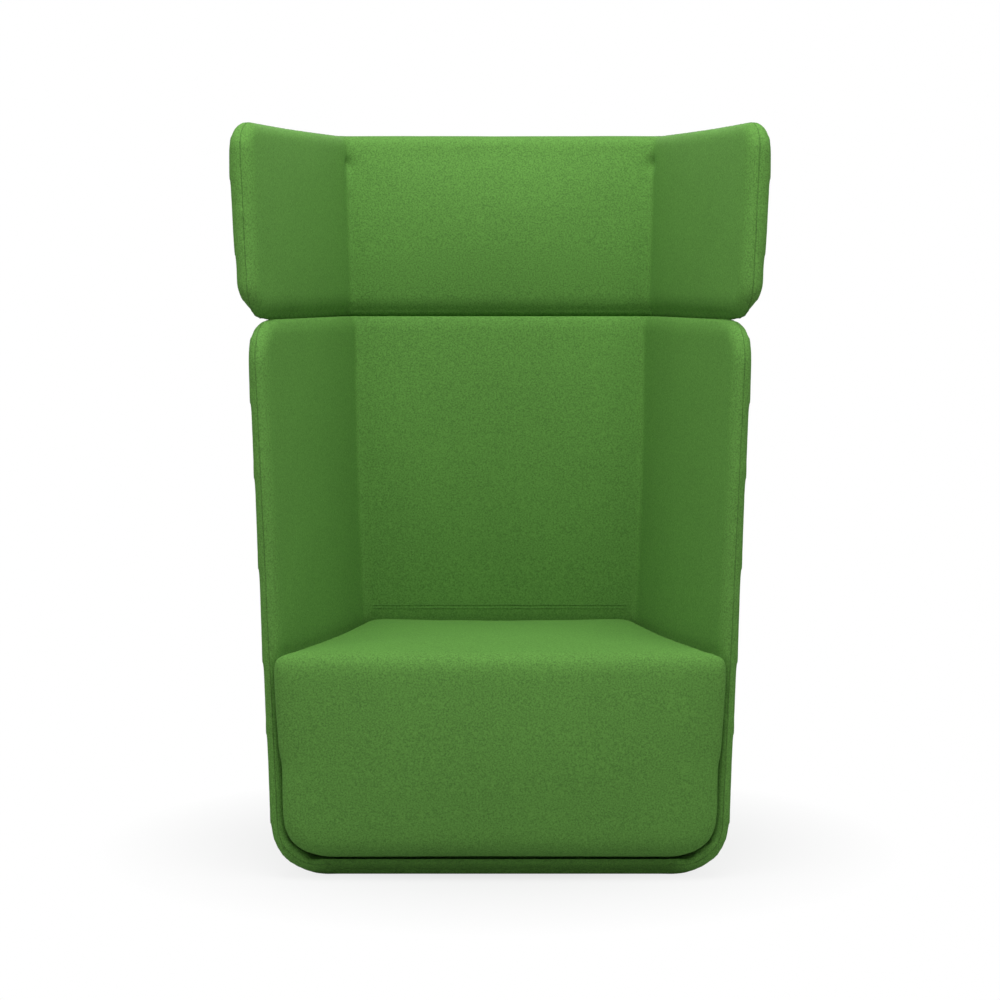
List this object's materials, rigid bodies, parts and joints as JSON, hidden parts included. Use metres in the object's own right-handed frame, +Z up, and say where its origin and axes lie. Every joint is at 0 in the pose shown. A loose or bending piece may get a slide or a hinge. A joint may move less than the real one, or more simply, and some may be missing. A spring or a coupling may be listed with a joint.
{
  "type": "lounge chair",
  "caption": "High back lounge chair: a felt covered shell with flared wings, a padded seat block set between them and a U-shaped padded headrest that slides up on two posts.",
  "frame": {"origin": "on the floor, under the middle of the chair as seen from above", "axes": "+Z up; the chair faces -Y; +X to the sitter's left"},
  "size_m": [0.9996, 0.7391, 1.41],
  "materials": {
    "shell_felt": "fine mottled wool felt over foam",
    "headrest_felt": "fine mottled wool felt over foam",
    "seat_felt": "fine mottled wool felt over foam",
    "moulded_plywood": "moulded birch plywood, sanded, bare",
    "solid_beech": "planed beech, bare",
    "box_plywood": "sawn birch plywood, bare",
    "post_steel": "drawn steel bar, zinc plated",
    "sleeve_steel": "turned steel sleeves",
    "webbing": "woven elastic webbing",
    "dust_sheet": "black non-woven sheet",
    "glide_plastic": "moulded black plastic"
  },
  "bodies": {
    "shell": {"left_side_panel": "moulded_plywood", "right_side_panel": "moulded_plywood", "back_panel": "moulded_plywood", "rear_bend_panel": "moulded_plywood", "base_panel": "moulded_plywood", "left_corner_batten": "solid_beech", "right_corner_batten": "solid_beech", "top_rail": "solid_beech", "rear_sill": "solid_beech", "post_sleeves": "sleeve_steel", "outer_cover": "shell_felt", "base_padding": "shell_felt", "back_padding": "shell_felt", "left_wing_padding": "shell_felt", "right_wing_padding": "shell_felt", "dust_cover": "dust_sheet", "glides": "glide_plastic", "seat_front_board": "box_plywood", "seat_rear_board": "box_plywood", "seat_left_board": "box_plywood", "seat_right_board": "box_plywood", "seat_corner_blocks": "solid_beech", "seat_webbing": "webbing", "seat_cushion": "seat_felt"},
    "headrest": {"headrest_panel": "moulded_plywood", "post_blocks": "solid_beech", "headrest_posts": "post_steel", "headrest_outer_cover": "headrest_felt", "headrest_back_padding": "headrest_felt", "left_headrest_padding": "headrest_felt", "right_headrest_padding": "headrest_felt"}
  },
  "joints": [
    {"name": "headrest_slide", "type": "slide", "parent": "shell", "child": "headrest", "axis": [0, 0.0896, 0.996], "range_m": [0, 0.12]}
  ]
}
